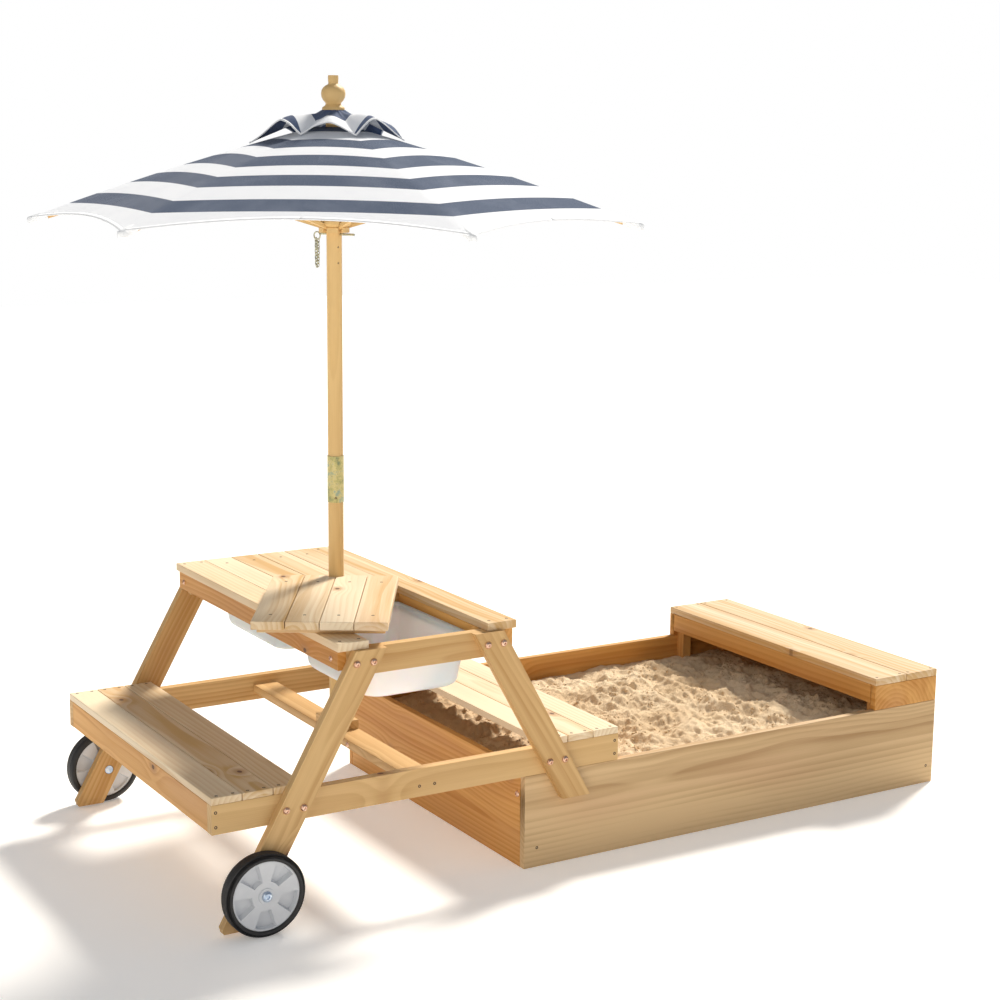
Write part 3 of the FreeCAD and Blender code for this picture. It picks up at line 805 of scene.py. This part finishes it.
# %% [markdown]
# ## Wheels
# A hard black tread with fine grooves round a pale moulded disc. Both are turned shapes, so a
# profile is spun about the axle. The disc's five pockets are pressed in by lowering the points that
# fall inside each pocket, with a short slope for its walls.


# %% Tyre and hub
wheel_places = {"front": (-0.4896, 1), "back": (0.4896, -1)}
axle = Vector((table_x - 0.402, 0, 0.0885))


def stand_wheel(bm, side):
    """Turn a shape made about Z so that its outer face looks away from the table."""
    outer, inward = wheel_places[side]
    bmesh.ops.transform(bm, matrix=Matrix.Rotation(math.radians(-90 * inward), 4, "X"), verts=bm.verts)
    bmesh.ops.translate(bm, verts=bm.verts, vec=(axle.x, outer, axle.z))
    return bm


def tread_profile():
    """Half of the section goes up the outer wall, over the crown with its grooves, and down again."""
    points = [(0.0738, 0.0022), (0.0750, 0.0008), (0.0790, 0.0), (0.0806, 0.0006)]
    for n in range(4):
        r, z = 0.0812 + n * 0.0014, 0.0010 + n * 0.0012
        points += [(r, z + 0.0006), (r + 0.0009, z)]
    z = 0.0062
    while z < 0.0290:
        points += [(0.0874, z), (0.0884, z + 0.0006), (0.0884, z + 0.0024), (0.0874, z + 0.0030)]
        z += 0.0038
    points += [(0.0864, 0.0330), (0.0842, 0.0350), (0.0790, 0.0360), (0.0750, 0.0354), (0.0738, 0.0340)]
    return points + [points[0]]


def disc_height(radius, angle):
    """How deep the disc's face lies at a place, for the five pockets and the rim."""
    fifth = math.degrees(angle) % 72.0
    ring = min(1.0, max(0.0, (radius - 0.0315) / 0.0014)) * min(1.0, max(0.0, (0.0700 - radius) / 0.0014))
    slope = math.degrees(0.0014 / max(radius, 0.01))
    arc = min(1.0, max(0.0, (fifth - 0.5) / slope)) * min(1.0, max(0.0, (39.5 - fifth) / slope))
    return 0.0130 * ring * arc


def disc(side):
    bm = bmesh.new()
    radii = [0.0058, 0.0085, 0.012, 0.0170, 0.0176, 0.022, 0.027, 0.0310, 0.0322, 0.0329, 0.034, 0.042, 0.050,
             0.058, 0.0674, 0.0686, 0.0693, 0.0700, 0.0722, 0.0738]
    steps = 240
    faces = []
    for back in (False, True):
        rings = []
        for radius in radii:
            ring = []
            for s in range(steps):
                angle = 2 * math.pi * s / steps
                depth = disc_height(radius, angle)
                depth -= 0.0022 if radius <= 0.0171 else 0.0
                depth += 0.0008 if radius > 0.0725 else 0.0
                z = 0.0325 - depth * 0.6 if back else 0.0030 + depth
                ring.append(bm.verts.new((radius * math.cos(angle), radius * math.sin(angle), z)))
            rings.append(ring)
        bridge(bm, rings)
        faces.append(rings)
    for n in (0, -1):
        bridge(bm, [faces[0][n], faces[1][n]])
    bmesh.ops.recalc_face_normals(bm, faces=bm.faces)
    return stand_wheel(bm, side)


def tread_paint():
    paint = Paint("black_tread")
    place = paint.place()
    dust = paint.noise(place, 55.0, 4.0)
    fine = paint.noise(place, 900.0, 2.0)
    colour = paint.mix(dust.step(0.5, 0.8) * 0.35, (0.014, 0.014, 0.015), (0.06, 0.055, 0.05))
    return paint.done(Base_Color=colour, Roughness=0.38 + dust * 0.2, Normal=paint.bump(fine, 0.0001, 0.5))


def disc_paint():
    paint = Paint("pale_disc")
    place = paint.place()
    dust = paint.noise(place, 30.0, 3.0)
    fine = paint.noise(place, 1400.0, 2.0)
    colour = paint.mix(dust, (0.62, 0.645, 0.68), (0.72, 0.74, 0.77))
    return paint.done(Base_Color=colour, Roughness=0.42 + (dust - 0.5) * 0.15,
                      Normal=paint.bump(fine, 0.00008, 0.5))


tread_black, disc_grey = tread_paint(), disc_paint()
for side in ("front", "back"):
    bm = lathe(tread_profile(), 96)
    tyre = keep_piece(side + "_tread", stand_wheel(bm, side), side + "_wheel", tread_black,
                      (side + "_tyre",))
    tyre.data.set_sharp_from_angle(angle=math.radians(50))
    hub = keep_piece(side + "_disc", disc(side), side + "_wheel", disc_grey, (side + "_wheel_hub",))
    hub.data.set_sharp_from_angle(angle=math.radians(35))
print("wheels: tread", len(tyre.data.polygons), "disc", len(hub.data.polygons), "faces")


# %% Axle bolts
def axle_bolt(bm, side):
    """A washer and a dome on the disc, the shank through wheel and leg, and a nut inside."""
    profile = [(0, -0.0022), (0.0034, -0.0022), (0.0042, -0.0050), (0.0062, -0.0056), (0.0092, -0.0044),
               (0.0110, -0.0020), (0.0113, 0.0004), (0.0113, 0.0010), (0.0050, 0.0010), (0.0050, 0.0530),
               (0.0098, 0.0530), (0.0098, 0.0580), (0.0052, 0.0585), (0, 0.0586)]
    part = stand_wheel(lathe(profile, 24), side)
    mesh = bpy.data.meshes.new("part")
    part.to_mesh(mesh)
    bm.from_mesh(mesh)
    part.free()


bm = bmesh.new()
axle_bolt(bm, "front")
axle_bolt(bm, "back")
bolts = keep_piece("axle_bolt_set", bm, "table", blue_zinc, ("axle_bolts",))
bolts.data.set_sharp_from_angle(angle=math.radians(40))

# %% [markdown]
# ## Water tubs
# The tubs are thin milky plastic, vacuum-formed over a block: round corners, walls that lean in,
# and a flat rim. Each is lofted from rounded rectangles, and a Solidify gives it its wall.


# %% Tubs
def rounded_loop(bm, x0, x1, y0, y1, radius, z, steps=8):
    """A level loop of points round a rectangle with round corners."""
    loop = []
    centres = [(x1 - radius, y1 - radius), (x0 + radius, y1 - radius), (x0 + radius, y0 + radius),
               (x1 - radius, y0 + radius)]
    for n, (x, y) in enumerate(centres):
        for s in range(steps + 1):
            angle = math.pi / 2 * (n + s / steps)
            loop.append(bm.verts.new((x + radius * math.cos(angle), y + radius * math.sin(angle), z)))
    return loop


def build_tub(side):
    bm = bmesh.new()
    near, far = (-0.3926, -0.053) if side < 0 else (0.053, 0.3926)
    mouth = 0.127
    levels = [(-0.0125, 0.5448, 0.012), (-0.0125, 0.5436, 0.012), (-0.0110, 0.5430, 0.012),
              (-0.0030, 0.5430, 0.016), (0.0, 0.5410, 0.020), (0.0008, 0.5360, 0.022),
              (0.0040, 0.5100, 0.026), (0.0090, 0.4700, 0.030), (0.0120, 0.4450, 0.032),
              (0.0150, 0.4370, 0.034), (0.0210, 0.4318, 0.036), (0.0300, 0.4306, 0.036)]
    loops = []
    for inset, z, radius in levels:
        loops.append(rounded_loop(bm, table_x - mouth + inset, table_x + mouth - inset, near + inset,
                                  far - inset, radius, z))
    for a, b in zip(loops, loops[1:]):
        for s in range(len(a)):
            t = (s + 1) % len(a)
            bm.faces.new((a[s], b[s], b[t], a[t]))
    floor = bm.faces.new(loops[-1])
    bmesh.ops.recalc_face_normals(bm, faces=bm.faces)
    bm.faces.ensure_lookup_table()
    if floor.normal.z > 0:
        bmesh.ops.reverse_faces(bm, faces=bm.faces)
    return bm


def milky():
    paint = Paint("milky_plastic")
    place = paint.place()
    cloud = paint.noise(place, 12.0, 3.0)
    fine = paint.noise(place, 500.0, 2.0)
    colour = paint.mix(cloud, (0.88, 0.89, 0.90), (0.95, 0.96, 0.97))
    return paint.done(Base_Color=colour, Roughness=0.28 + cloud * 0.12, Alpha=0.78,
                      Normal=paint.bump(fine, 0.0001, 0.3), Subsurface_Weight=0.3)


milky_plastic = milky()
for side, name in ((-1, "front_tub"), (1, "back_tub")):
    tub = keep_piece(name + "_moulded", build_tub(side), "table", milky_plastic, (name,))
    wall = tub.modifiers.new("wall", "SOLIDIFY")
    wall.thickness = 0.0018
    wall.offset = -1
print("tubs moulded")

# %% [markdown]
# ## Umbrella cloth
# Six wedges of striped cloth are sewn edge to edge and pulled tight over six ribs. Between two ribs
# a wedge is nearly flat, billows a little, and its hem is cut in to a shallow curve. Here a piece
# is the cloth over one rib, out to the middle of the wedge on either side, so that it can fold with
# its rib. The stripes run parallel to the hem, so the cloth's own map stores the distance from the
# mast along the wedge's middle.

# %% Cloth geometry
rib_pitch = math.radians(16.67)
slope = math.tan(rib_pitch)
hem_reach, centre_hole = 0.5885, 0.0400
cos30 = math.cos(math.radians(30))
rib_turn = [math.radians(26.7 + 60 * k) for k in range(6)]


def rib_line(radius):
    """Height of the cloth's underside above a rib."""
    return hinge_height + 0.0075 / math.cos(rib_pitch) - (radius - mast_hinge_radius) * slope


def smooth(t):
    t = min(1.0, max(0.0, t))
    return t * t * (3 - 2 * t)


def wedge_point(k, side, across, out, height):
    """A point of the wedge beside rib k: across is 0 at the rib and 1 at the wedge's middle."""
    middle = rib_turn[k] + side * math.radians(30)
    lateral = -side * out * math.tan(math.radians(30)) * (1 - across)
    x = out * math.cos(middle) - lateral * math.sin(middle)
    y = out * math.sin(middle) + lateral * math.cos(middle)
    return Vector((table_x + x, y, height))


def canopy_height(across, out):
    billow = 0.0060 * (1 - (1 - across) ** 2) * smooth(out / 0.25)
    peak = 0.0115 * (1 - out / hem_reach) + 0.0085 * math.sin(math.pi * out / hem_reach)
    return rib_line(out / cos30) + billow + peak


hem_cuts = (0.026, 0.026, 0.026, 0.045, 0.028, 0.026)


def hem_out(k, side, across):
    """Distance from the mast to the hem, along the wedge's middle."""
    return hem_reach - hem_cuts[k if side > 0 else k - 1] * (1 - (1 - across) ** 2)


def cloth_sheet(name, k, point, across_steps, out_steps, thickness, material):
    """Build both halves of the cloth over rib k from a point function, with its cloth map."""
    bm = bmesh.new()
    layer = bm.loops.layers.uv.new("cloth")
    marks = {}
    columns = []
    for step in range(-across_steps, across_steps + 1):
        side = 1 if step >= 0 else -1
        across = abs(step) / across_steps
        line = []
        for j in range(out_steps + 1):
            place, out = point(k, side, across, j / out_steps)
            vert = bm.verts.new(place)
            marks[vert] = (side * out * math.tan(math.radians(30)) * across + 2.0 * k, out)
            line.append(vert)
        columns.append(line)
    bridge(bm, columns, around=False)
    for face_of_cloth in bm.faces:
        for loop in face_of_cloth.loops:
            loop[layer].uv = marks[loop.vert]
    area = sum(f.calc_area() for f in bm.faces)
    bmesh.ops.recalc_face_normals(bm, faces=bm.faces)
    bm.faces.ensure_lookup_table()
    if bm.faces[0].normal.z < 0:
        bmesh.ops.reverse_faces(bm, faces=bm.faces)
    piece = keep_piece(name, bm, None, material)
    wall = piece.modifiers.new("cloth_thickness", "SOLIDIFY")
    wall.thickness = thickness
    wall.offset = 1
    piece.modifiers.new("cut_edges", "EDGE_SPLIT").split_angle = math.radians(50)
    return piece, area


def fold_with(piece, k):
    """The cloth rides on its rib, so it moves as the rib folds."""
    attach(piece, f"rib_{k + 1}_body")
    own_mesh(piece)


# %% Striped cloth
def striped(name, bands, navy=(0.032, 0.062, 0.130)):
    """Cloth with navy bands, each from one distance to another along the wedge's middle."""
    paint = Paint(name)
    u, v, _ = paint.parts(paint.node("ShaderNodeUVMap", {"uv_map": "cloth"}))
    ragged = v + (paint.noise(paint.join(u * 900.0, v * 900.0, 0.0), 1.0, 1.0) - 0.5) * 0.0012
    stripe = 0.0
    for low, high in bands:
        stripe = ragged.step(low - 0.0005, low + 0.0005) * ragged.step(high + 0.0005, high - 0.0005) + stripe
    warp = (u * (2 * math.pi * 1100.0)).do("SINE") * 0.5 + 0.5
    weft = (v * (2 * math.pi * 1100.0)).do("SINE") * 0.5 + 0.5
    twill = paint.noise(paint.join(u * 1500.0, v * 260.0, 0.0), 1.0, 2.0)
    cross = paint.noise(paint.join(u * 260.0, v * 1500.0, 3.0), 1.0, 2.0)
    fleck = (twill * 0.55 + cross * 0.45).step(0.50, 0.66)
    blue = paint.mix(fleck * 0.5, navy, (0.15, 0.22, 0.34))
    white = paint.mix(twill, (0.88, 0.91, 0.97), (0.93, 0.96, 1.0))
    beside = (u + 8.0).do("MODULO", 2.0)
    seam = beside.do("MINIMUM", 2.0 - beside)
    stitch = seam.step(0.0048, 0.0040) * seam.step(0.0034, 0.0040)
    colour = paint.mix(stripe, white, blue)
    colour = paint.mix(stitch * 0.12, colour, (0.45, 0.47, 0.52))
    # Painted shade: the same slow noise that ripples the cloth mixes in up to a tenth of bluish grey, for
    # skylit shade on the cloth.
    ripple_and_painted_shade = paint.noise(paint.join(u * 9.0, v * 9.0, 1.0), 1.0, 3.0)
    colour = paint.mix(ripple_and_painted_shade.step(0.4, 0.8) * 0.10, colour, (0.55, 0.60, 0.72))
    height = warp * weft * 0.4 + twill * 0.3 + ripple_and_painted_shade * 1.5 - stitch * 0.6
    return paint.done(Base_Color=colour, Roughness=0.88, Normal=paint.bump(height, 0.0007, 0.6),
                      Sheen_Weight=0.15, Specular_IOR_Level=0.2)


canopy_bands = [(0.020, 0.072), (0.128, 0.181), (0.231, 0.290), (0.340, 0.394), (0.457, 0.512)]
striped_cloth = striped("striped_cloth", canopy_bands)
cap_cloth = striped("cap_cloth", [(0.018, 0.056), (0.099, 0.190)], (0.045, 0.080, 0.18))


def white_cloth_paint():
    paint = Paint("white_binding")
    place = paint.place()
    weave = paint.noise(place, 1200.0, 2.0)
    soil = paint.noise(place, 30.0, 3.0)
    colour = paint.mix(soil.step(0.5, 0.8) * 0.4, (0.90, 0.93, 0.97), (0.72, 0.74, 0.78))
    return paint.done(Base_Color=colour, Roughness=0.85, Normal=paint.bump(weave, 0.0004, 0.6),
                      Sheen_Weight=0.15)


white_binding = white_cloth_paint()


# %% Canopy, hem, cap
def canopy_point(k, side, across, t):
    out = centre_hole + (hem_out(k, side, across) - centre_hole) * t
    return wedge_point(k, side, across, out, canopy_height(across, out)), out


cap_reach = (0.168, 0.172, 0.186, 0.118, 0.122, 0.156)
cap_arches = (0.030, 0.034, 0.040, 0.026, 0.040, 0.034)


def cap_point(k, side, across, t):
    """The vent cap: tied down at the ribs, its free edge arched up like a hood between them."""
    corner, other = cap_reach[k] * cos30, cap_reach[(k + side) % 6] * cos30
    edge_out = corner + ((corner + other) / 2 - 0.006 - corner) * math.sin(math.pi / 2 * across)
    out = 0.0225 + (edge_out - 0.0225) * t
    low = canopy_height(across, out) + 0.0035
    here, there = canopy_height(0, corner), canopy_height(0, other)
    foot = here + (there - here) / 2 * across + 0.005
    crown = 1.658 + (foot - 1.658) * t ** 0.9
    tall = cap_arches[k if side > 0 else k - 1]
    arch = tall * math.sin(math.pi / 2 * across) ** 1.2 * math.sin(math.pi / 2 * t) ** 1.6
    ripple = 0.0045 * math.sin(7.0 * across + 1.7 * k) * math.sin(5.0 * t + k) * across * (1 - across)
    return wedge_point(k, side, across, out, max(low, crown + arch + ripple)), out


def hem_strip(name, k, point_at, thickness, width):
    """A folded binding along the free edge: a flat tube that wraps the cloth's edge."""
    bm = bmesh.new()
    rings = []
    steps = 24
    for step in range(-steps, steps + 1):
        side = 1 if step >= 0 else -1
        across = abs(step) / steps
        edge = point_at(k, side, across, 1.0)
        inner_edge = point_at(k, side, across, 0.97)
        inward = (inner_edge - edge).normalized()
        bulge = 0.0005 + thickness * 0.6
        lift = Vector((0, 0, 1))
        ring = [edge - inward * 0.0012 + lift * thickness * 0.5, edge + lift * (thickness + bulge),
                edge + inward * width + lift * (thickness + bulge * 0.6),
                edge + inward * width - lift * 0.0006, edge - lift * bulge]
        rings.append([bm.verts.new(p) for p in ring])
    bridge(bm, rings)
    bm.faces.new(rings[0])
    bm.faces.new(rings[-1][::-1])
    bmesh.ops.recalc_face_normals(bm, faces=bm.faces)
    return keep_piece(name, bm, None, white_binding)


def rib_pocket(k):
    """The white pocket that holds the rib's tip: a flat sleeve with a rounded end."""
    bm = bmesh.new()
    a = rib_turn[k]
    out_way = Vector((math.cos(a), math.sin(a), 0))
    side_way = Vector((-math.sin(a), math.cos(a), 0))
    down = Vector((math.cos(a), math.sin(a), -slope)).normalized()
    up_way = side_way.cross(down) * -1
    if up_way.z < 0:
        up_way = -up_way
    centre = Vector((table_x, 0, hinge_height)) + out_way * mast_hinge_radius
    rings = []
    for reach, half, low, high in ((0.638, 0.0085, -0.0062, 0.0098), (0.645, 0.0088, -0.0072, 0.0104),
                                   (0.662, 0.0084, -0.0074, 0.0106), (0.679, 0.0074, -0.0070, 0.0104),
                                   (0.685, 0.0050, -0.0050, 0.0085)):
        ring = []
        for n in range(16):
            angle = 2 * math.pi * n / 16
            c, s = math.cos(angle), math.sin(angle)
            wide = half * math.copysign(abs(c) ** 0.7, c)
            tall = (low + high) / 2 + (high - low) / 2 * math.copysign(abs(s) ** 0.7, s)
            ring.append(bm.verts.new(centre + down * reach + side_way * wide + up_way * tall))
        rings.append(ring)
    bridge(bm, rings)
    bm.faces.new(rings[0][::-1])
    bm.faces.new(rings[-1])
    bmesh.ops.recalc_face_normals(bm, faces=bm.faces)
    return keep_piece(f"rib_pocket_{k + 1}", bm, f"rib_{k + 1}_body", white_binding)


def build_canopy():
    total = 0.0
    for k in range(6):
        canopy, area = cloth_sheet(f"canopy_cloth_{k + 1}", k, canopy_point, 14, 44, 0.0011, striped_cloth)
        hem = hem_strip(f"canopy_hem_{k + 1}", k, lambda *spot: canopy_point(*spot)[0], 0.0011, 0.008)
        pocket = rib_pocket(k)
        cap, cap_area = cloth_sheet(f"vent_cap_{k + 1}", k, cap_point, 14, 18, 0.0011, cap_cloth)
        cap_hem = hem_strip(f"vent_cap_hem_{k + 1}", k, lambda *spot: cap_point(*spot)[0], 0.0011, 0.003)
        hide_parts(f"canopy_panel_{k + 1}")
        for piece in (canopy, hem, cap, cap_hem):
            fold_with(piece, k)
        total += area + cap_area
    return total


print("cloth cut:", round(build_canopy(), 3), "square metres")

# %% [markdown]
# ## Pin and chain
# A steel pin stops the runner, and a short chain on its ring keeps it from getting lost. A link is
# a bent wire, and the row tree puts one every few millimetres along a hanging loop, each turned a
# quarter from the last.


# %% Chain
def link_shape():
    """One long link of round wire."""
    bm = bmesh.new()
    rings = []
    wire, half_long, half_wide = 0.0010, 0.0044, 0.0026
    for n in range(20):
        angle = 2 * math.pi * n / 20
        c, s = math.cos(angle), math.sin(angle)
        straight = math.copysign(half_long - half_wide, s) * (abs(s) > 0.01)
        centre = Vector((half_wide * c, 0, half_wide * s + straight))
        out_way = Vector((c, 0, s))
        ring = []
        for m in range(6):
            turn_round = 2 * math.pi * m / 6
            ring.append(bm.verts.new(centre + out_way * wire * math.cos(turn_round)
                                     + Vector((0, wire * math.sin(turn_round), 0))))
        rings.append(ring)
    bridge(bm, rings + rings[:1])
    bmesh.ops.recalc_face_normals(bm, faces=bm.faces)
    return pattern_shape("link", bm)


def chain_spots():
    """A loop that hangs from the ring: down one side, round, and up the other."""
    a = math.radians(116.7)
    hang = Vector((table_x + 0.0475 * math.cos(a), 0.0475 * math.sin(a), 1.3785))
    level_way = Vector((math.cos(a), math.sin(a), 0))
    path = []
    for n in range(200):
        t = n / 199 * 2 - 1
        sideways = level_way * 0.0032 * math.sin(t * math.pi / 2)
        path.append(hang + sideways + Vector((0, 0, -0.062 * (1 - t ** 4))))
    spots, gone, step = [], 0.0, 0.0066
    flat_way = level_way.cross(Vector((0, 0, 1)))
    for p, q in zip(path, path[1:]):
        gone += (q - p).length
        if gone >= step:
            gone -= step
            way = (q - p).normalized()
            side_way = flat_way if len(spots) % 2 else way.cross(flat_way)
            spots.append((tuple(p), tuple(way), tuple(side_way)))
    return spots


links = chain_spots()
place_row("pin_chain", links, link_shape(), 1.0, brass_zinc, "pin_body")
print(len(links), "links")

# %% [markdown]
# ## Metal parts that keep their shape
# The ferrule and the pin are already true to shape, so they only get their finish.

# %% Finish on the frame's own parts
for node, material in (("mast_ferrule", ferrule_zinc), ("locking_pin", brass_zinc)):
    data = frame["nodes"][node].data
    data.materials.clear()
    data.materials.append(material)



def on_pole(degrees, radius, z):
    """A spot on the round pole that faces away from its middle."""
    a = math.radians(degrees)
    return ((table_x + radius * math.cos(a), radius * math.sin(a), z), (math.cos(a), math.sin(a), 0), up)


place_row("ferrule_rivet", [on_pole(243.7, 0.0188, 0.797)], screw, 0.8, aged_screw_and_hole_shade, "lower_pole")
# The pole's two holes aren't cut: small dark screw heads sit on the pole as painted shade in their place.
holes = [on_pole(-85, 0.0171, z) for z in (1.361, 1.326)]
place_row("pole_screws", holes, screw, 0.55, aged_screw_and_hole_shade, "umbrella_pole")

# %% [markdown]
# ## Floor
# A plain pale floor catches the light and a soft shadow. It isn't part of the object.

# %% Floor
bm = bmesh.new()
bmesh.ops.create_grid(bm, x_segments=2, y_segments=2, size=14)
bmesh.ops.translate(bm, verts=bm.verts, vec=(0, 0, -0.0005))
mesh = bpy.data.meshes.new("floor")
bm.to_mesh(mesh)
bm.free()
floor = bpy.data.objects.new("floor", mesh)
bpy.context.collection.objects.link(floor)
paint = Paint("pale_floor")
speckle = paint.noise(paint.place(), 3.0, 2.0)
pale = paint.mix(speckle, (0.94, 0.93, 0.91), (0.96, 0.95, 0.93))
mesh.materials.append(paint.done(Base_Color=pale, Roughness=0.9, Emission_Color=(1.0, 0.98, 0.95),
                                 Emission_Strength=0.22))
